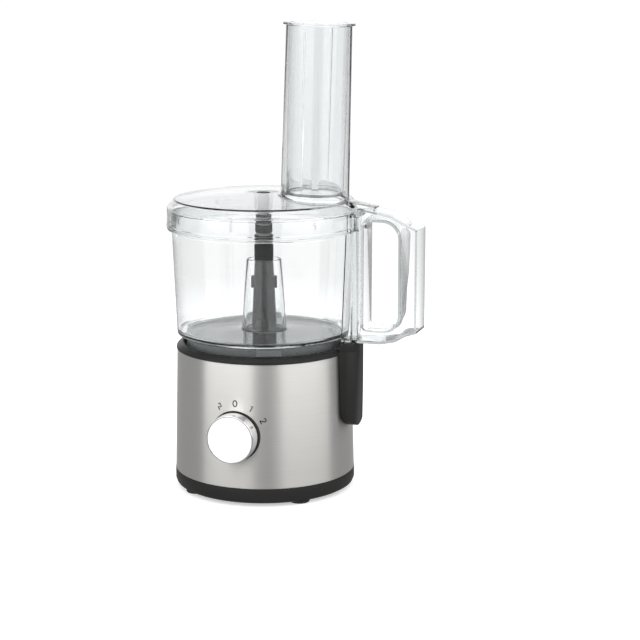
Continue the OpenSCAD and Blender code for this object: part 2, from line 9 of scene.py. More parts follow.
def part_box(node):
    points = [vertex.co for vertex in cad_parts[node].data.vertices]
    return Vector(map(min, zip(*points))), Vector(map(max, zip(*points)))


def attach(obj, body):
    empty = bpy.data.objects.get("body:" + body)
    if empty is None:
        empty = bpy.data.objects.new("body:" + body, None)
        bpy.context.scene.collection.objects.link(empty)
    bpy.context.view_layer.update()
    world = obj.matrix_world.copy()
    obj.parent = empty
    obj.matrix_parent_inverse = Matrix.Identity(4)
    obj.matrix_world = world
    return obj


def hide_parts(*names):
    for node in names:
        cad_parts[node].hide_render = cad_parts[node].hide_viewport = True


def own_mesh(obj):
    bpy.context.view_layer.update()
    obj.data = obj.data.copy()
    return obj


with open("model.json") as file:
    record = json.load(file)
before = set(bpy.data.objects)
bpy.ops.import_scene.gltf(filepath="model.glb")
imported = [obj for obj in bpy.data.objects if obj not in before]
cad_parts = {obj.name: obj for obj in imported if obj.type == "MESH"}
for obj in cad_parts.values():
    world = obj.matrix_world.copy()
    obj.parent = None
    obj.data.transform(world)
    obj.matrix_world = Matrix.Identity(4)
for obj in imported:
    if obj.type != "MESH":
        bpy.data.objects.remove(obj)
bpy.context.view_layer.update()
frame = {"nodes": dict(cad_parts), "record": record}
nodes = frame["nodes"]

# Shapes are drawn in millimetres, as in part.scad, and built in metres.
MM = 0.001


def box_mm(node):
    """The lowest and highest corners of a CAD node in millimetres."""
    return [[round(value / MM, 3) for value in corner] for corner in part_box(node)]


# The steel shell: the heights of its edges and its radius at each
(_, _, SHELL_FOOT), (SHELL_LOW_R, _, SHELL_TOP) = box_mm("steel_shell")
SHELL_TOP_R = 80

# The knob, which turns about a line along Y, and the disc behind it
(_, KNOB_FRONT, KNOB_LOW_Z), (KNOB_R, KNOB_REAR, KNOB_HIGH_Z) = box_mm("knob")
KNOB_FACE_Y, KNOB_BACK_Y = -KNOB_FRONT, -KNOB_REAR
KNOB_Z = (KNOB_LOW_Z + KNOB_HIGH_Z) / 2
PLATE_R = 22.7
PLATE_GAP = 0.15

# The clear walls, and the handle: its outer face, half its width, its walls and its finger opening
WALL = 2.2
HANDLE_X, HANDLE_HALF, _ = box_mm("bowl_handle")[1]
PANEL = 2.5
FINGER_X = 98.2
GRIP = 17

# The push rod in the handle
(ROD_NEAR_X, _, _), (ROD_FAR_X, _, _) = box_mm("push_rod")
ROD_X = (ROD_NEAR_X + ROD_FAR_X) / 2
ROD_R = 2.7
ROD_GAP = 0.3

# The lid's domed top: its edge, how far its middle rises over that, and the points along an outline
LID_FLAT_R = 80.7
LID_FLAT_Z = SHELL_TOP + 137.5
LID_RISE = 4.5
DOME_STEPS = 8

# The feed tube's axis, its outer radius at the lid and at its mouth, and the height of its mouth
TUBE_X = 48.7
TUBE_LEAN = math.radians(1.57)
TUBE_LOW_R = 30.75
TUBE_HIGH_R = 29.4
TUBE_TOP_Z = 422.5

# ---------- materials ----------

MATERIALS = {}


def new_material(name):
    """Put a new material into MATERIALS, and give its node tree and its Principled shader."""
    material = bpy.data.materials.new(name)
    material.use_nodes = True
    MATERIALS[name] = material
    tree = material.node_tree
    return tree, tree.nodes["Principled BSDF"]


def noise(tree, scale, detail, stretch=None):
    """A noise texture in the object's own space, stretched by three factors if they are given."""
    place = tree.nodes.new("ShaderNodeTexCoord")
    texture = tree.nodes.new("ShaderNodeTexNoise")
    texture.inputs["Scale"].default_value = scale
    texture.inputs["Detail"].default_value = detail
    if stretch is None:
        tree.links.new(place.outputs["Object"], texture.inputs["Vector"])
    else:
        mapping = tree.nodes.new("ShaderNodeMapping")
        mapping.inputs["Scale"].default_value = stretch
        tree.links.new(place.outputs["Object"], mapping.inputs["Vector"])
        tree.links.new(mapping.outputs["Vector"], texture.inputs["Vector"])
    return texture.outputs["Fac"]


def vary_colour(tree, shader, factor, colour, spread):
    """Vary the shader's colour both ways by a share of it."""
    tone = tree.nodes.new("ShaderNodeMix")
    tone.data_type = "RGBA"
    tone.inputs["A"].default_value = (*[c * (1 - spread) for c in colour], 1)
    tone.inputs["B"].default_value = (*[min(1, c * (1 + spread)) for c in colour], 1)
    tree.links.new(factor, tone.inputs["Factor"])
    tree.links.new(tone.outputs["Result"], shader.inputs["Base Color"])


def vary_roughness(tree, shader, factor, low, high):
    """Vary the shader's roughness between two values."""
    level = tree.nodes.new("ShaderNodeMapRange")
    level.inputs["To Min"].default_value = low
    level.inputs["To Max"].default_value = high
    tree.links.new(factor, level.inputs["Value"])
    tree.links.new(level.outputs["Result"], shader.inputs["Roughness"])


def add_bump(tree, shader, factor, strength, depth):
    """Raise and lower the surface by up to a depth in metres, by bump only."""
    height = tree.nodes.new("ShaderNodeBump")
    height.inputs["Strength"].default_value = strength
    height.inputs["Distance"].default_value = depth
    tree.links.new(factor, height.inputs["Height"])
    tree.links.new(height.outputs["Normal"], shader.inputs["Normal"])


def mix_shaders(tree, factor, first, second):
    """The output of a mix of two shaders by a factor."""
    mix = tree.nodes.new("ShaderNodeMixShader")
    tree.links.new(factor, mix.inputs["Fac"])
    tree.links.new(first, mix.inputs[1])
    tree.links.new(second, mix.inputs[2])
    return mix.outputs["Shader"]


def clear_shadow(tree, shader):
    """Let shadow rays through clear plastic, a little dimmed, so that it casts only a faint shadow."""
    path = tree.nodes.new("ShaderNodeLightPath")
    through = tree.nodes.new("ShaderNodeBsdfTransparent")
    through.inputs["Color"].default_value = (0.93, 0.94, 0.94, 1)
    look = mix_shaders(tree, path.outputs["Is Shadow Ray"], shader.outputs["BSDF"], through.outputs["BSDF"])
    tree.links.new(look, tree.nodes["Material Output"].inputs["Surface"])


def clear_depth(tree):
    """Darken light with the way that it goes inside the plastic, which shows at edges and ribs."""
    depth = tree.nodes.new("ShaderNodeVolumeAbsorption")
    depth.inputs["Color"].default_value = (0.48, 0.52, 0.52, 1)
    depth.inputs["Density"].default_value = 50
    tree.links.new(depth.outputs["Volume"], tree.nodes["Material Output"].inputs["Volume"])


def clear_plastic(name, face, edge_shade, power, rough=0.015, clarity=1):
    """Clear plastic with painted shade at its edges: it takes more of its dark edge colour, by a power,
    where it is seen along its surface, standing in for the dark rims that reflection and refraction give.
    """
    tree, shader = new_material(name)
    shader.inputs["IOR"].default_value = 1.42
    shader.inputs["Transmission Weight"].default_value = clarity
    slant = tree.nodes.new("ShaderNodeLayerWeight")
    slant.inputs["Blend"].default_value = 0.5
    rim_shade = tree.nodes.new("ShaderNodeMath")
    rim_shade.operation = "POWER"
    rim_shade.inputs[1].default_value = power
    tint = tree.nodes.new("ShaderNodeMix")
    tint.data_type = "RGBA"
    tint.inputs["A"].default_value = (*face, 1)
    tint.inputs["B"].default_value = (*edge_shade, 1)
    tree.links.new(slant.outputs["Facing"], rim_shade.inputs[0])
    tree.links.new(rim_shade.outputs["Value"], tint.inputs["Factor"])
    tree.links.new(tint.outputs["Result"], shader.inputs["Base Color"])
    waves = noise(tree, 60, 2)
    vary_roughness(tree, shader, waves, rough * 0.5, rough * 1.5)
    add_bump(tree, shader, waves, 0.02, 0.0004)
    clear_shadow(tree, shader)
    clear_depth(tree)


def moulded_plastic(name, colour, rough, grain=1800, bump=0.04, gloss=0.5):
    """Moulded plastic: a fine spark-eroded grain, and slow changes of tone and gloss."""
    tree, shader = new_material(name)
    wide = noise(tree, 35, 3)
    vary_colour(tree, shader, wide, colour, 0.12)
    vary_roughness(tree, shader, wide, rough - 0.05, rough + 0.07)
    add_bump(tree, shader, noise(tree, grain, 2), bump, 0.0002)
    shader.inputs["Specular IOR Level"].default_value = gloss


def brushed_metal(name, colour, rough, around=True, bump=0.1):
    """Metal brushed around the drive axis, with long streaks that way, or with a fine even grain."""
    tree, shader = new_material(name)
    streaks = noise(tree, 1, 3, (6, 6, 2600) if around else (900, 900, 900))
    vary_colour(tree, shader, streaks, colour, 0.06)
    vary_roughness(tree, shader, streaks, rough - 0.05, rough + 0.08)
    add_bump(tree, shader, streaks, bump, 0.0001)
    shader.inputs["Metallic"].default_value = 1
    if around:
        tangent = tree.nodes.new("ShaderNodeTangent")
        tangent.direction_type = "RADIAL"
        tangent.axis = "Z"
        shader.inputs["Anisotropic"].default_value = 0.93
        shader.inputs["Anisotropic Rotation"].default_value = 0.25
        tree.links.new(tangent.outputs["Tangent"], shader.inputs["Tangent"])


moulded_plastic("black_plastic", (0.017, 0.0175, 0.0165), 0.36, gloss=0.13)
moulded_plastic("deep_black", (0.004, 0.004, 0.004), 0.45, gloss=0.06)
moulded_plastic("rubber", (0.02, 0.02, 0.02), 0.75, grain=900, bump=0.08, gloss=0.3)
brushed_metal("bright_steel", (0.72, 0.72, 0.73), 0.22, around=False, bump=0.02)
brushed_metal("brushed_steel", (0.74, 0.73, 0.705), 0.38)
moulded_plastic("switch_plastic", (0.7, 0.68, 0.62), 0.5)
moulded_plastic("silver_plastic", (0.82, 0.82, 0.82), 0.26, bump=0.02, gloss=0.6)
brushed_metal("satin_silver", (0.8, 0.8, 0.81), 0.16, around=False, bump=0.02)
moulded_plastic("cast_aluminium", (0.62, 0.63, 0.64), 0.45, grain=700, bump=0.15)
brushed_metal("laminated_steel", (0.3, 0.3, 0.32), 0.45, bump=0.3)
brushed_metal("copper_winding", (0.6, 0.25, 0.1), 0.35, bump=0.4)
moulded_plastic("board_green", (0.02, 0.16, 0.07), 0.35)
moulded_plastic("capacitor_white", (0.8, 0.8, 0.77), 0.4)
moulded_plastic("charcoal_plastic", (0.024, 0.026, 0.026), 0.42, gloss=0.18)
moulded_plastic("grey_plastic", (0.5, 0.5, 0.5), 0.4)
moulded_plastic("pale_plastic", (0.62, 0.63, 0.63), 0.35)
# The clear plastics darken towards their second colour where seen edge-on: painted shade at their edges
clear_plastic("clear_plastic", (0.985, 0.99, 0.99), (0.06, 0.07, 0.07), 7)
clear_plastic("clear_lid", (0.955, 0.96, 0.96), (0.12, 0.13, 0.13), 4)
clear_plastic("clear_skirt", (0.5, 0.53, 0.54), (0.25, 0.27, 0.28), 4, rough=0.3, clarity=0.84)

SLOTS = {}
for part in frame["record"]["subparts"]:
    SLOTS[part["node"]] = part["material_slot"]
    mesh = nodes[part["node"]].data
    mesh.materials.clear()
    mesh.materials.append(MATERIALS[part["material_slot"]])

# ---------- shape helpers ----------

ARC_STEPS = 5
STRAIGHT = math.radians(88)
SIDE_SHARE = 0.48


def rounded(outline, steps=ARC_STEPS):
    """The points of a closed outline of (x, y, radius) corners, each corner turned into an arc.

    A corner that is nearly straight stays a point, and an arc takes less than half of a side."""
    points = []
    for i, (x, y, radius) in enumerate(outline):
        here = Vector((x, y))
        back = Vector(outline[i - 1][:2]) - here
        ahead = Vector(outline[(i + 1) % len(outline)][:2]) - here
        half = back.angle(ahead) / 2
        if radius <= 0 or half > STRAIGHT:
            points.append((x, y))
            continue
        reach = min(radius / math.tan(half), SIDE_SHARE * back.length, SIDE_SHARE * ahead.length)
        centre_way = (back.normalized() + ahead.normalized()).normalized()
        centre = here + centre_way * reach / math.cos(half)
        start = here + back.normalized() * reach - centre
        end = here + ahead.normalized() * reach - centre
        turn = math.atan2(start.x * end.y - start.y * end.x, start.dot(end))
        for k in range(steps + 1):
            way = Matrix.Rotation(turn * k / steps, 2) @ start
            points.append((centre.x + way.x, centre.y + way.y))
    return points


def new_piece(name, shape, look):
    """A visible object made from a bmesh in millimetres, with a material by name."""
    bmesh.ops.remove_doubles(shape, verts=shape.verts, dist=1e-4)
    bmesh.ops.recalc_face_normals(shape, faces=shape.faces)
    bmesh.ops.scale(shape, vec=(MM, MM, MM), verts=shape.verts)
    data = bpy.data.meshes.new(name)
    shape.to_mesh(data)
    shape.free()
    piece = bpy.data.objects.new(name, data)
    bpy.context.scene.collection.objects.link(piece)
    data.materials.append(MATERIALS[look])
    return piece


def skin(shape, rings, closed=True):
    """Faces between each ring of points and the next; in a closed row the last ring meets the first."""
    ahead = rings[1:] + rings[:1] if closed else rings[1:]
    for here, following in zip(rings, ahead):
        for i in range(len(here)):
            shape.faces.new((here[i - 1], here[i], following[i], following[i - 1]))


def lathe(name, outline, look, segments=144, turn=None):
    """A closed outline of (radius, height, corner radius) spun about Z, then placed by a matrix."""
    shape = bmesh.new()
    profile = rounded(outline)
    rings = []
    for k in range(segments):
        angle = 2 * math.pi * k / segments
        way = Vector((math.cos(angle), math.sin(angle)))
        rings.append([shape.verts.new((r * way.x, r * way.y, z)) for r, z in profile])
    skin(shape, rings)
    bmesh.ops.remove_doubles(shape, verts=shape.verts, dist=1e-4)
    bmesh.ops.dissolve_degenerate(shape, edges=shape.edges, dist=1e-5)
    if turn is not None:
        bmesh.ops.transform(shape, matrix=turn, verts=shape.verts)
    return new_piece(name, shape, look)


def prism(name, outline, look, low, high, steps=ARC_STEPS, turn=None):
    """A closed outline of (x, z, corner radius) given a width along Y, then placed by a matrix."""
    shape = bmesh.new()
    profile = rounded(outline, steps)
    near = [shape.verts.new((x, low, z)) for x, z in profile]
    far = [shape.verts.new((x, high, z)) for x, z in profile]
    shape.faces.new(near)
    shape.faces.new(far[::-1])
    for i in range(len(profile)):
        shape.faces.new((near[i - 1], far[i - 1], far[i], near[i]))
    if turn is not None:
        bmesh.ops.transform(shape, matrix=turn, verts=shape.verts)
    return new_piece(name, shape, look)


def box_outline(x0, x1, z0, z1, radius=0):
    """The outline of a box, or of half the section of a cylinder."""
    return [(x0, z0, radius), (x1, z0, radius), (x1, z1, radius), (x0, z1, radius)]


def lifted(outline):
    """An outline whose heights are counted from the top of the shell."""
    return [(r, SHELL_TOP + z, corner) for r, z, corner in outline]


def apply_modifiers(piece):
    """Replace a piece's mesh by what its modifiers make of it."""
    graph = bpy.context.evaluated_depsgraph_get()
    data = bpy.data.meshes.new_from_object(piece.evaluated_get(graph))
    piece.modifiers.clear()
    piece.data = data


def combine(piece, tools, operation):
    """Unite tools with a piece, or cut them from it."""
    for tool in tools:
        modifier = piece.modifiers.new("combine", "BOOLEAN")
        modifier.operation = operation
        modifier.solver = "EXACT"
        modifier.object = tool
        apply_modifiers(piece)
        bpy.data.objects.remove(tool)
    return piece


def soften(piece, width):
    """Round the sharp edges of a piece by a width."""
    modifier = piece.modifiers.new("soften", "BEVEL")
    modifier.width = width * MM
    modifier.segments = 2
    modifier.limit_method = "ANGLE"
    modifier.angle_limit = math.radians(35)
    modifier.use_clamp_overlap = True
    modifier.miter_outer = "MITER_ARC"
    apply_modifiers(piece)
    return piece


def place(piece, body, slot, *replaced):
    """Shade a finished piece, attach it to the body that it rides on and hide the nodes that it stands for;
    the slot is not used.
    """
    piece.data.shade_smooth()
    piece.data.set_sharp_from_angle(angle=math.radians(32))
    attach(piece, body)
    if replaced:
        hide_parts(*replaced)
    return piece


def refine(node, body, width):
    """Replace a CAD node by a copy with its flat faces joined and its edges rounded by a width."""
    shape = bmesh.new()
    shape.from_mesh(nodes[node].data)
    bmesh.ops.remove_doubles(shape, verts=shape.verts, dist=1e-6)
    bmesh.ops.dissolve_limit(
        shape, angle_limit=math.radians(0.5), verts=shape.verts, edges=shape.edges
    )
    bmesh.ops.scale(shape, vec=(1 / MM, 1 / MM, 1 / MM), verts=shape.verts)
    piece = new_piece("fine_" + node, shape, SLOTS[node])
    soften(piece, width)
    place(piece, body, SLOTS[node], node)


def around_z(angle, x=0):
    """A place at a distance from the drive axis, turned about it by an angle in degrees."""
    return Matrix.Rotation(math.radians(angle), 4, "Z") @ Matrix.Translation((x, 0, 0))


# The knob's axis, for outlines whose heights then count towards the front, and the push rod's axis
ON_KNOB = Matrix.Translation((0, 0, KNOB_Z)) @ Matrix.Rotation(math.radians(90), 4, "X")
ON_ROD = Matrix.Translation((ROD_X, 0, 0))

# ---------- base ----------

POST_ANGLES = (30, 150, 210, 330)
BOSS_ANGLES = (45, 135, 225, 315)


def shell_radius(z):
    """The outer radius of the steel shell at a height."""
    return SHELL_LOW_R + (SHELL_TOP_R - SHELL_LOW_R) * (z - SHELL_FOOT) / (SHELL_TOP - SHELL_FOOT)


def make_shell():
    """The steel sleeve with rounded edges, a hole for the knob's disc and a window for the column."""
    shell = lathe("shell", [
        (SHELL_LOW_R, SHELL_FOOT, 0.35), (SHELL_TOP_R, SHELL_TOP, 0.35),
        (SHELL_TOP_R - 1, SHELL_TOP, 0.35), (SHELL_LOW_R - 1, SHELL_FOOT, 0.35),
    ], "brushed_steel", segments=192)
    hole = lathe("hole", box_outline(0, PLATE_R + PLATE_GAP, 50, 100), "brushed_steel", turn=ON_KNOB)
    window = prism("window", lifted(box_outline(60, 100, -52, -12)), "brushed_steel", -10, 10)
    combine(shell, [hole, window], "DIFFERENCE")
    place(shell, "base", "brushed_steel", "steel_shell")


def make_housing():
    """The black shoulder under the bowl, with its groove, its raised floor and its screw posts."""
    z = SHELL_TOP
    housing = lathe("housing", [
        (6, z + 7.5, 0), (61.5, z + 6.5, 1), (63.2, z - 1.5, 0.8), (75.6, z - 1.5, 0.4),
        (75.6, z - 9, 0.3), (78.6, z - 9, 0.4), (78.6, z + 0.05, 0.1), (80.7, z + 0.05, 0.3),
        (80.4, z + 2.2, 1.2), (77.4, z + 5, 1.4), (75.2, z + 6, 0.8), (73.8, z + 5.4, 0.6),
        (73.5, z + 1.2, 0.5), (67, z + 1.2, 0.8), (66, z + 8.6, 0.8), (64.6, z + 9.6, 0.6),
        (11, z + 10.4, 0.8), (10, z + 13.6, 0.5), (6, z + 13.6, 0.4),
    ], "black_plastic", segments=192)
    combine(housing, [
        prism("slot", box_outline(72.5, 92.5, z - 12, z + 18), "black_plastic", -16.2, 16.2)
    ], "DIFFERENCE")
    for angle in POST_ANGLES:
        combine(housing, [lathe("post", [
            (1.55, 17.3, 0.2), (4.5, 17.3, 0.4), (4.5, z - 0.8, 0), (1.55, z - 0.8, 0)
        ], "black_plastic", segments=32, turn=around_z(angle, x=68))], "UNION")
    for angle in BOSS_ANGLES:
        combine(housing, [lathe("boss", [
            (2.1, 100.1, 0.2), (5, 100.1, 0.5), (5, z + 7.8, 0), (2.1, z + 7.8, 0)
        ], "black_plastic", segments=32, turn=around_z(angle, x=47.5))], "UNION")
    place(housing, "base", "black_plastic", "top_housing")


def make_knob():
    """The knob: a slightly tapered metal drum, and a paler face with a shallow dish set into it."""
    knob = lathe("knob_drum", [
        (0, KNOB_BACK_Y, 0), (KNOB_R, KNOB_BACK_Y, 0.5), (KNOB_R - 0.3, KNOB_FACE_Y - 0.5, 1),
        (KNOB_R - 1.4, KNOB_FACE_Y - 0.5, 0.3), (KNOB_R - 1.4, KNOB_FACE_Y - 1.6, 0.2),
        (0, KNOB_FACE_Y - 1.6, 0),
    ], "satin_silver", segments=128, turn=ON_KNOB)
    bore = lathe("bore", box_outline(0, 3, 40, KNOB_BACK_Y + 7), "silver_plastic", segments=48,
                 turn=ON_KNOB)
    combine(knob, [bore], "DIFFERENCE")
    place(knob, "dial", "silver_plastic", "knob")
    face = lathe("knob_face", [
        (0, KNOB_FACE_Y - 1.65, 0), (KNOB_R - 1.5, KNOB_FACE_Y - 1.65, 0), (KNOB_R - 1.5, KNOB_FACE_Y, 0.7),
        (KNOB_R - 4, KNOB_FACE_Y, 1), (KNOB_R - 6, KNOB_FACE_Y - 0.3, 2), (0, KNOB_FACE_Y - 0.4, 0),
    ], "silver_plastic", segments=128, turn=ON_KNOB)
    place(face, "dial", "silver_plastic")


def make_dial_disc():
    """The black disc behind the knob, with the hole for the knob's shaft."""
    plate = lathe("dial_disc", [
        (3.3, 76, 0.2), (PLATE_R, 76, 0.3), (PLATE_R, 82, 0.5), (3.3, 82, 0.2),
    ], "black_plastic", segments=128, turn=ON_KNOB)
    place(plate, "base", "black_plastic", "dial_plate")


def ribbon(path, width):
    """The two sides of a stroke of a width along a path of (x, y) points."""
    left, right = [], []
    for i, (x, y) in enumerate(path):
        back = Vector(path[max(i - 1, 0)])
        ahead = Vector(path[min(i + 1, len(path) - 1)])
        side = (ahead - back).normalized().orthogonal() * width / 2
        left.append((x + side.x, y + side.y))
        right.append((x - side.x, y - side.y))
    return left, right


def oval(half_width, half_height):
    """A closed path round an oval."""
    steps = 28
    angles = [2 * math.pi * k / steps for k in range(steps + 1)]
    return [(half_width * math.cos(angle), half_height * math.sin(angle)) for angle in angles]


# The angle of each mark around the knob, and its strokes, 6 mm high: a pulse sign, 0, 1 and 2
MARKS = {
    "pulse": (-30, [
        [(-1.6, -2.6), (-1.6, 0.4), (-0.3, 0.4)],
        [(-0.3, 2.6), (1.6, 2.6), (1.6, -0.4), (-0.3, -0.4)],
    ]),
    "0": (0, [oval(1.8, 2.7)]),
    "1": (30, [[(-1.3, 1.5), (0.3, 2.7), (0.3, -2.7)]]),
    "2": (60, [
        [(-1.6, 1.6), (-1.1, 2.45), (0.1, 2.75), (1.3, 2.2), (1.5, 1.2), (0.9, 0.1), (-1.6, -2.6)],
        [(-1.7, -2.6), (1.8, -2.6)],
    ]),
}
MARK_RADIUS = 29.5
MARK_WIDTH = 0.9
MARK_RISE = 0.12
MARK_SINK = 0.1


def on_shell(x, y, lean, rise):
    """The place on the shell of a mark's point, for a mark at an angle of lean round the knob."""
    up = MARK_RADIUS + y
    across = x * math.cos(lean) + up * math.sin(lean)
    z = KNOB_Z + up * math.cos(lean) - x * math.sin(lean)
    r = shell_radius(z)
    turn = across / r
    return (r + rise) * math.sin(turn), -(r + rise) * math.cos(turn), z


def add_stroke(shape, path, lean):
    """One stroke of a mark: a band along its path, sunk a little into the steel and a little raised."""
    rows = []
    for line in ribbon(path, MARK_WIDTH):
        rows.append([
            [shape.verts.new(on_shell(x, y, lean, rise)) for rise in (-MARK_SINK, MARK_RISE)]
            for x, y in line
        ])
    near, far = rows
    for i in range(len(near) - 1):
        a, b, c, d = near[i], near[i + 1], far[i + 1], far[i]
        shape.faces.new((a[1], b[1], c[1], d[1]))
        shape.faces.new((a[0], d[0], c[0], b[0]))
        shape.faces.new((a[0], b[0], b[1], a[1]))
        shape.faces.new((d[0], d[1], c[1], c[0]))
    for end in (0, -1):
        shape.faces.new((near[end][0], near[end][1], far[end][1], far[end][0]))


def make_marks():
    """The printed marks, wrapped on the shell as thin raised strokes."""
    shape = bmesh.new()
    for angle, strokes in MARKS.values():
        for path in strokes:
            add_stroke(shape, path, math.radians(angle))
    place(new_piece("dial_marks", shape, "black_plastic"), "base", "black_plastic")


# ---------- bowl ----------

LUG_ANGLES = (-68, 52, 172)

# Half of the bowl's section: floor, wall, flared flange, rim, and back down inside to the chimney
BOWL_OUTLINE = [
    (71, 13.2, 0), (79.6, 13.9, 1.6), (83.4, 108.9, 0.8),
    (87.6, 110.4, 0.4), (87.6, 111.4, 0.3), (83.7, 111.4, 0.4), (83.8, 127, 0.8), (81.8, 127, 0.8),
    (81.4, 108, 2), (77.6, 16.6, 3), (20.5, 16.6, 1.5), (15.7, 83.6, 0.9), (13.9, 83.6, 0.9),
    (17.8, 14.8, 0.5), (69.2, 14.8, 0),
]


def finger_opening(name, grow, reach):
    """A tool in the shape of the handle's finger opening, grown on every side."""
    x0, x1 = FINGER_X - grow, HANDLE_X - GRIP + grow
    return prism(name, lifted([
        (x0, 24 - grow, 4 + grow), (x1, 24 - grow, 15 + grow),
        (x1, 121.5 + grow, 15 + grow), (x0, 121.5 + grow, 4 + grow),
    ]), "clear_plastic", -reach, reach, steps=8)


def handle_pocket():
    """The space inside the handle's channel, open at the back, with a wall round the finger opening."""
    x, t = HANDLE_X, PANEL
    pocket = prism("pocket", lifted([
        (74, 14, 0), (113.3, 13.9, 18), (127.2, 16.4, 18), (x - 10.9, 22.4, 8), (x - t, 24.9, 1),
        (x - t, 114.4, 1), (x - 12.6, 119.3, 8), (122.1, 125.7, 12), (102, 129.1, 12), (93.1, 129.1, 1),
        (93.1, 124.5, 1), (74, 124.5, 0),
    ]), "clear_plastic", -HANDLE_HALF + t, 30)
    return combine(pocket, [finger_opening("finger_wall", t, 40)], "DIFFERENCE")


def bowl_handle():
    """The handle: a channel with a front panel and walls round its edges, and the push rod's tube."""
    x = HANDLE_X
    handle = prism("handle", lifted([
        (78, 11.6, 0), (113.5, 11.4, 18), (128, 14, 20), (x - 10, 20, 10), (x, 23, 1.2), (x, 116, 1.2),
        (x - 11.5, 121.5, 10), (123, 128, 14), (102, 131.6, 14), (90.6, 131.6, 1), (90.6, 127, 0.6),
        (78, 127, 0),
    ]), "clear_plastic", -HANDLE_HALF, HANDLE_HALF)
    combine(handle, [finger_opening("finger", 0, 30)], "DIFFERENCE")
    combine(handle, [handle_pocket()], "DIFFERENCE")
    soften(handle, 0.5)
    tube_r = ROD_R + ROD_GAP + 1.7
    tube = lathe("rod_tube", lifted([
        (0, 12.4, 0), (tube_r, 12.4, 0.4), (tube_r, 126.4, 0), (0, 126.4, 0),
    ]), "clear_plastic", segments=48, turn=ON_ROD)
    return combine(handle, [tube], "UNION")


def make_bowl():
    """The bowl with its chimney and handle, all one clear moulding, with a way for the push rod."""
    bowl = lathe("clear_bowl", lifted(BOWL_OUTLINE), "clear_plastic", segments=192)
    handle = bowl_handle()
    inside = lathe("inside", lifted([
        (0, -20, 0), (70, -20, 0), (70, 14.2, 0), (78.7, 14.9, 1.2), (82.4, 108.8, 0.8), (86, 110.8, 0.2),
        (86, 111.1, 0.1), (82.7, 111.1, 0.2), (82.7, 160, 0), (0, 160, 0),
    ]), "clear_plastic", segments=192)
    combine(handle, [inside], "DIFFERENCE")
    combine(bowl, [handle], "UNION")
    hole = lathe("rod_hole", lifted(box_outline(0, ROD_R + ROD_GAP, -10, 150)), "clear_plastic",
                 segments=48, turn=ON_ROD)
    combine(bowl, [hole], "DIFFERENCE")
    place(bowl, "bowl_body", "clear_plastic", "bowl", "bowl_handle")


def make_skirt():
    """The duller skirt under the bowl, with its three bayonet lugs."""
    skirt = lathe("bowl_skirt", lifted([
        (69.2, 1.4, 0.4), (71, 1.4, 0.4), (71, 13.15, 0.2), (69.2, 14.75, 0.2),
    ]), "clear_skirt", segments=192)
    for angle in LUG_ANGLES:
        lug = prism("lug", lifted(box_outline(70.2, 76, 6.6, 12.6, 0.8)), "clear_skirt", -11, 11,
                    turn=around_z(angle))
        combine(skirt, [soften(lug, 0.5)], "UNION")
    place(skirt, "bowl_body", "clear_plastic")


# ---------- lid, feed tube and pusher ----------


def dome(r, drop=0):
    """Height of the lid's domed top at a radius, or of a surface that lies lower by a drop."""
    return LID_FLAT_Z + LID_RISE * (1 - (r / LID_FLAT_R) ** 2) - drop


def dome_points(rows, drop=0):
    """Outline points along the domed top, or a surface lower by a drop, at steps of its radius."""
    radii = [LID_FLAT_R * k / DOME_STEPS for k in rows]
    return [(r, dome(r, drop), 0) for r in radii]


def tube_radius(z):
    """The outer radius of the feed tube at a height."""
    return TUBE_LOW_R + (TUBE_HIGH_R - TUBE_LOW_R) * (z - LID_FLAT_Z) / (TUBE_TOP_Z - LID_FLAT_Z)


def on_tube():
    """The place of the feed tube's axis, with heights counted from the worktop."""
    foot = Matrix.Translation((TUBE_X, 0, LID_FLAT_Z))
    return foot @ Matrix.Rotation(TUBE_LEAN, 4, "Y") @ Matrix.Translation((0, 0, -LID_FLAT_Z))


def tube_foot():
    """A small fillet round the foot of the feed tube, which follows the lid's dome."""
    size, steps, segments = 2.6, 5, 96
    shape = bmesh.new()
    rings = []
    for k in range(segments):
        angle = 2 * math.pi * k / segments
        way = Vector((math.cos(angle), math.sin(angle)))
        section = []
        for i in range(steps + 1):
            bend = math.pi / 2 * i / steps
            out = size * (1 - math.sin(bend))
            rise = size * (1 - math.cos(bend))
            section.append((TUBE_LOW_R + out - 0.05, rise))
        section += [(TUBE_LOW_R - 1, size), (TUBE_LOW_R - 1, -0.8), (TUBE_LOW_R + size, -0.8)]
        ring = []
        for r, rise in section:
            x, y = TUBE_X + r * way.x, r * way.y
            ring.append(shape.verts.new((x, y, dome(math.hypot(x, y)) + rise)))
        rings.append(ring)
    skin(shape, rings)
    return new_piece("tube_foot", shape, "clear_plastic")


def lid_cover():
    """The lid's boss, domed top and skirt, with the tube's opening and a notch over the handle."""
    z = SHELL_TOP
    rows = range(1, DOME_STEPS)
    cover = lathe("clear_lid", [
        (6.2, z + 126.2, 0.4), (8.2, z + 126.2, 0.5), (8.8, dome(0, WALL), 1.2),
        *dome_points(rows, WALL),
        (LID_FLAT_R - 0.9, dome(LID_FLAT_R, WALL), 1.5), (86, z + 129.1, 1.2), (86, z + 112, 0.4),
        (88, z + 112, 0.4), (88, z + 114.4, 0.3), (87.5, z + 115, 0.3), (87.5, z + 130, 1.4),
        (LID_FLAT_R, LID_FLAT_Z, 0.8),
        *dome_points(reversed(rows)),
        (6.2, dome(6.2), 0.5),
    ], "clear_lid", segments=192)
    bore = lathe("bore", lifted(box_outline(0, TUBE_LOW_R - WALL, 125, 180)), "clear_plastic",
                 segments=96, turn=on_tube())
    notch = prism("notch", lifted(box_outline(70, 110, 100, 128.6, 0.6)), "clear_plastic", -16.5, 16.5)
    return combine(cover, [bore, notch], "DIFFERENCE")


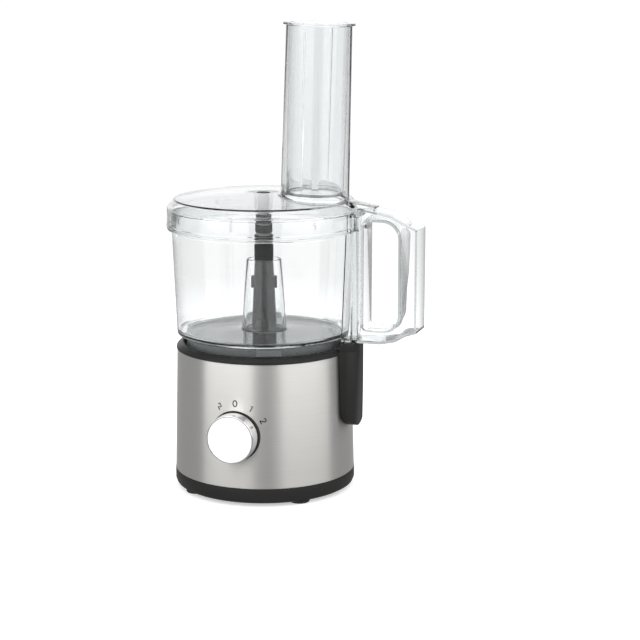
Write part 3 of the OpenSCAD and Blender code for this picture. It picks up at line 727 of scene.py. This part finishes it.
def feed_tube():
    """The feed tube, cut at its foot to follow the lid's dome."""
    foot_z = LID_FLAT_Z - 4
    foot_r = tube_radius(foot_z)
    tube = lathe("tube", [
        (foot_r, foot_z, 0), (TUBE_HIGH_R, TUBE_TOP_Z, 0.6),
        (TUBE_HIGH_R - WALL, TUBE_TOP_Z, 0.6), (foot_r - WALL, foot_z, 0),
    ], "clear_plastic", segments=128, turn=on_tube())
    core = lathe("core", [
        (0, SHELL_TOP + 100, 0), (85, SHELL_TOP + 100, 0), (85, LID_FLAT_Z - 3, 0),
        *dome_points(range(DOME_STEPS, -1, -1), 1),
    ], "clear_plastic", segments=128)
    return combine(tube, [core], "DIFFERENCE")


def lid_tab():
    """The tab that reaches from the lid over the top of the handle."""
    tab = prism("tab", lifted([
        (79, 134, 0), (79, 138.4, 0.5), (84.5, 137.6, 3), (102, 134.4, 6),
        (106.5, 133.6, 0.6), (106.5, 132, 0.5), (84, 132, 0.5),
    ]), "clear_plastic", -8, 8)
    return soften(tab, 0.4)


# The ribs inside the lid's skirt: angle, lowest and highest point over the shell
LID_RIBS = [(-90, 119, 131), (-40, 120, 125), (140, 120, 125), (-130, 120, 125)]


def make_lid():
    """The lid with its boss, skirt, tab and feed tube, all one clear moulding."""
    lid = lid_cover()
    added = [feed_tube(), tube_foot(), lid_tab()]
    for angle, low, high in LID_RIBS:
        added.append(prism("rib", lifted(box_outline(85, 88, low, high, 0.3)), "clear_plastic",
                           -0.7, 0.7, turn=around_z(angle)))
    combine(lid, added, "UNION")
    place(lid, "lid_body", "clear_plastic", "lid", "lid_skirt", "lid_tab", "feed_tube")


PUSHER_WEDGE_ANGLE = 17
PUSHER_RIB_ANGLES = (-12, 168)


def make_pusher():
    """The pusher: a long cup with a flange at its mouth, a wedge rib and two flat ribs inside."""
    r = TUBE_HIGH_R - WALL - 0.45
    low, top = SHELL_TOP + 142.5, TUBE_TOP_Z + 0.3
    pusher = lathe("clear_pusher", [
        (0, low, 0), (r - 1.8, low, 0.8), (r - 0.8, low + 1, 0.6), (r, top, 0.4), (32.25, top, 0.3),
        (32.25, top + 2, 0.9), (r - 1.6, top + 2, 0.8), (r - 2.5, low + 2, 1.4), (0, low + 2, 0),
    ], "clear_plastic", segments=128, turn=on_tube())
    tip_z = top - 0.26 * (top - low)
    wedge = prism("wedge", [
        (-0.5, tip_z, 0.3), (0.5, tip_z, 0.3), (2.6, low + 8, 0.6), (-2.6, low + 8, 0.6),
    ], "clear_plastic", -r + 1.6, -r + 2.7, turn=on_tube() @ around_z(PUSHER_WEDGE_ANGLE))
    soften(wedge, 0.4)
    ribs = [
        prism("rib", box_outline(-0.6, 0.6, low + 4, top - 6, 0.3), "clear_plastic",
              -r + 1.6, -r + 3, turn=on_tube() @ around_z(angle))
        for angle in PUSHER_RIB_ANGLES
    ]
    combine(pusher, [wedge, *ribs], "UNION")
    place(pusher, "pusher_body", "clear_plastic", "pusher")


# ---------- spindle, spring and rod ----------

# The stem's bands from below: name, radius, lowest and highest point over the shell, material; the grey
# rings between the dark bands are painted highlights, standing in for the bright edges of the lid's boss
STEM_BANDS = [
    ("stem_foot", 8.65, 80.02, 99.9, "deep_black"),
    ("stem_painted_highlight_low", 7.2, 99.9, 102, "grey_plastic"),
    ("stem_band", 7.9, 102, 107.4, "deep_black"),
    ("stem_painted_highlight_high", 6.8, 107.4, 108.7, "grey_plastic"),
    ("stem_block", 7.1, 108.7, 120.6, "charcoal_plastic"),
    ("stem_painted_highlight_top", 6.8, 120.6, 122, "grey_plastic"),
    ("stem_ring", 7.1, 122, 124.4, "deep_black"),
    ("stem_pin", 5.3, 124.4, 139.2, "pale_plastic"),
    ("stem_tip", 5.6, 139.2, 141, "deep_black"),
]

# The record's slot for each of the stem's materials, and the CAD nodes that two of the bands stand for
STEM_SLOTS = {
    "deep_black": "black_plastic", "charcoal_plastic": "charcoal_plastic",
    "grey_plastic": "grey_plastic", "pale_plastic": "grey_plastic",
}
STEM_REPLACES = {"stem_foot": ["spindle_cap"], "stem_painted_highlight_top": ["spindle_collar"]}


def make_stem():
    """The stem on the spindle: dark bands with grey rings between them as painted highlights, a pale pin in
    the lid's boss and a dark tip.
    """
    for name, radius, low, high, look in STEM_BANDS:
        soft = 1.2 if name == "stem_foot" else 0.35
        band = lathe(name, lifted([
            (0, low, 0), (radius, low, 0.15), (radius, high, soft), (0, high, 0),
        ]), look, segments=72)
        place(band, "rotor", STEM_SLOTS[look], *STEM_REPLACES.get(name, []))


SPINDLE_TURN = 17.5


def make_groove_shade_strip():
    """A black strip laid in the groove along the front of the spindle: painted shade, standing in for the
    groove's shadow.
    """
    shade_strip = prism("groove_shade_strip", lifted(box_outline(-1.6, 1.6, 26.2, 75.8, 0.4)), "deep_black",
                -6.4, -5.6, turn=around_z(SPINDLE_TURN))
    place(soften(shade_strip, 0.2), "rotor", "black_plastic")


def make_spring():
    """The coil spring under the plunger's flange."""
    coils, steps, sides = 6, 24, 10
    radius, wire = 3.1, 0.35
    low, high = SHELL_TOP - 20.5, SHELL_TOP - 6.5
    shape = bmesh.new()
    rings = []
    for i in range(coils * steps + 1):
        turn = 2 * math.pi * i / steps
        z = low + (high - low) * i / (coils * steps)
        ring = []
        for k in range(sides):
            bend = 2 * math.pi * k / sides
            r = radius + wire * math.cos(bend)
            x, y = ROD_X + r * math.cos(turn), r * math.sin(turn)
            ring.append(shape.verts.new((x, y, z + wire * math.sin(bend))))
        rings.append(ring)
    skin(shape, rings, closed=False)
    shape.faces.new(rings[0])
    shape.faces.new(rings[-1][::-1])
    spring = place(new_piece("spring", shape, "bright_steel"), "base", "bright_steel", "interlock_spring")
    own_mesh(spring)


def make_rod():
    """The clear push rod in the handle, with a narrower round tip."""
    rod = lathe("clear_rod", lifted([
        (0, 12.5, 0), (ROD_R, 12.5, 0.5), (ROD_R, 126.7, 0.6), (ROD_R - 1.5, 128.2, 0.6), (0, 128.2, 0),
    ]), "clear_plastic", segments=48, turn=ON_ROD)
    place(rod, "rod", "clear_plastic", "push_rod")


make_shell()
make_housing()
make_knob()
make_dial_disc()
make_marks()
make_bowl()
make_skirt()
make_lid()
make_pusher()
make_stem()
make_groove_shade_strip()
make_spring()
make_rod()

# The CAD nodes that only get rounded edges: node, body, width of the rounding in millimetres
REFINED = [
    ("base_pan", "base", 0.4),
    ("rubber_feet", "base", 0.4),
    ("interlock_column", "base", 0.6),
    ("column_cap", "base", 0.5),
    ("spindle", "rotor", 0.4),
    ("interlock_plunger", "plunger", 0.3),
    ("cord_gland", "base", 0.4),
]
for node, body, width in REFINED:
    refine(node, body, width)

# ---------- floor, light and camera ----------

# In metres: the floor's radius, where it starts to fade and where it is white, and where lights aim
FLOOR_RADIUS = 40
LIT_RADIUS = 0.5
WHITE_RADIUS = 1.4
AIM_HEIGHT = 0.2


def white_light(tree, strength):
    """A white emission of a strength."""
    emission = tree.nodes.new("ShaderNodeEmission")
    emission.inputs["Color"].default_value = (1, 1, 1, 1)
    emission.inputs["Strength"].default_value = strength
    return emission.outputs["Emission"]


def far_from_object(tree):
    """A factor that grows from 0 at the lit floor to 1 at the white floor."""
    place = tree.nodes.new("ShaderNodeTexCoord")
    distance = tree.nodes.new("ShaderNodeVectorMath")
    distance.operation = "LENGTH"
    fade = tree.nodes.new("ShaderNodeMapRange")
    fade.interpolation_type = "SMOOTHSTEP"
    fade.inputs["From Min"].default_value = LIT_RADIUS
    fade.inputs["From Max"].default_value = WHITE_RADIUS
    tree.links.new(place.outputs["Object"], distance.inputs[0])
    tree.links.new(distance.outputs["Value"], fade.inputs["Value"])
    return fade.outputs["Result"]


def seen_in_reflection(tree):
    """A factor that is 1 for rays that were mirrored and didn't pass through clear plastic."""
    path = tree.nodes.new("ShaderNodeLightPath")
    outside = tree.nodes.new("ShaderNodeMath")
    outside.operation = "SUBTRACT"
    outside.use_clamp = True
    tree.links.new(path.outputs["Is Glossy Ray"], outside.inputs[0])
    tree.links.new(path.outputs["Is Transmission Ray"], outside.inputs[1])
    return outside.outputs["Value"]


def add_floor():
    """A pale floor that fades to an even white away from the object, and is darker in reflections."""
    bpy.ops.mesh.primitive_circle_add(vertices=96, radius=FLOOR_RADIUS, fill_type="NGON")
    floor = bpy.context.object
    floor.name = "floor"
    tree, shader = new_material("floor")
    shader.inputs["Base Color"].default_value = (0.8, 0.8, 0.8, 1)
    shader.inputs["Roughness"].default_value = 0.8
    shader.inputs["Specular IOR Level"].default_value = 0.1
    shader.inputs["Emission Color"].default_value = (1, 1, 1, 1)
    shader.inputs["Emission Strength"].default_value = 0.5
    near = shader.outputs["BSDF"]
    direct = mix_shaders(tree, far_from_object(tree), near, white_light(tree, 1.05))
    look = mix_shaders(tree, seen_in_reflection(tree), direct, white_light(tree, 0.35))
    tree.links.new(look, tree.nodes["Material Output"].inputs["Surface"])
    floor.data.materials.append(MATERIALS["floor"])


def add_softbox(name, azimuth, distance, height, width, tall, radiance):
    """A softbox that faces the object, at an azimuth from -Y towards +X, with a given radiance."""
    light = bpy.data.lights.new(name, "AREA")
    light.shape = "RECTANGLE"
    light.size, light.size_y = width, tall
    light.energy = radiance * math.pi * width * tall
    lamp = bpy.data.objects.new(name, light)
    angle = math.radians(azimuth)
    lamp.location = (distance * math.sin(angle), -distance * math.cos(angle), height)
    aim = Vector((0, 0, AIM_HEIGHT if distance > 0 else 0)) - lamp.location
    lamp.rotation_euler = aim.to_track_quat("-Z", "Y").to_euler()
    lamp.visible_camera = False
    bpy.context.scene.collection.objects.link(lamp)


def add_world(colour, strength, seen):
    """An even studio: one strength as light, and a brighter one where the camera sees it directly."""
    world = bpy.data.worlds.new("studio")
    world.use_nodes = True
    tree = world.node_tree
    back = tree.nodes["Background"]
    back.inputs["Color"].default_value = (*colour, 1)
    path = tree.nodes.new("ShaderNodeLightPath")
    level = tree.nodes.new("ShaderNodeMapRange")
    level.inputs["To Min"].default_value = strength
    level.inputs["To Max"].default_value = seen
    tree.links.new(path.outputs["Is Camera Ray"], level.inputs["Value"])
    tree.links.new(level.outputs["Result"], back.inputs["Strength"])
    bpy.context.scene.world = world


CAMERA_AZIMUTH = math.radians(17.5)
CAMERA_PITCH = math.radians(11.83)
CAMERA_YAW = math.radians(-0.18)
CAMERA_SIDE, CAMERA_BACK, CAMERA_HEIGHT = 0.046, 1.6359, 0.4965
CAMERA_LENS = 102.34


def add_camera():
    """The camera stands in front of the object, turned about the drive axis towards the handle."""
    data = bpy.data.cameras.new("camera")
    data.lens = CAMERA_LENS
    data.sensor_width = 36
    data.clip_end = 100
    camera = bpy.data.objects.new("camera", data)
    turn = Matrix.Rotation(CAMERA_AZIMUTH, 4, "Z")
    stand = Matrix.Translation((CAMERA_SIDE, -CAMERA_BACK, CAMERA_HEIGHT))
    look = Matrix.Rotation(CAMERA_YAW, 4, "Z") @ Matrix.Rotation(math.radians(90) - CAMERA_PITCH, 4, "X")
    camera.matrix_world = turn @ stand @ look
    bpy.context.scene.collection.objects.link(camera)
    bpy.context.scene.camera = camera


# Softboxes: name, azimuth in degrees, distance, height, width and tall in metres, radiance
SOFTBOXES = [
    ("left_softbox", -30, 1.35, 0.85, 2.1, 1.7, 1.65),
    ("right_softbox", 74, 1.35, 0.85, 2.2, 1.7, 1.55),
    ("back_softbox", 197.5, 2.2, 1, 2.6, 2, 0.78),
    ("top_softbox", 0, 0, 1.7, 1.6, 1.6, 1.5),
]

add_floor()
add_world(colour=(0.97, 0.98, 1), strength=0.44, seen=1.1)
for softbox in SOFTBOXES:
    add_softbox(*softbox)
add_camera()

# Light passes many clear walls, so it needs many bounces
cycles = bpy.context.scene.cycles
cycles.max_bounces = 24
cycles.transmission_bounces = 24
cycles.transparent_max_bounces = 24
cycles.glossy_bounces = 6
cycles.caustics_reflective = False
cycles.caustics_refractive = False
bpy.context.scene.view_settings.view_transform = "Standard"
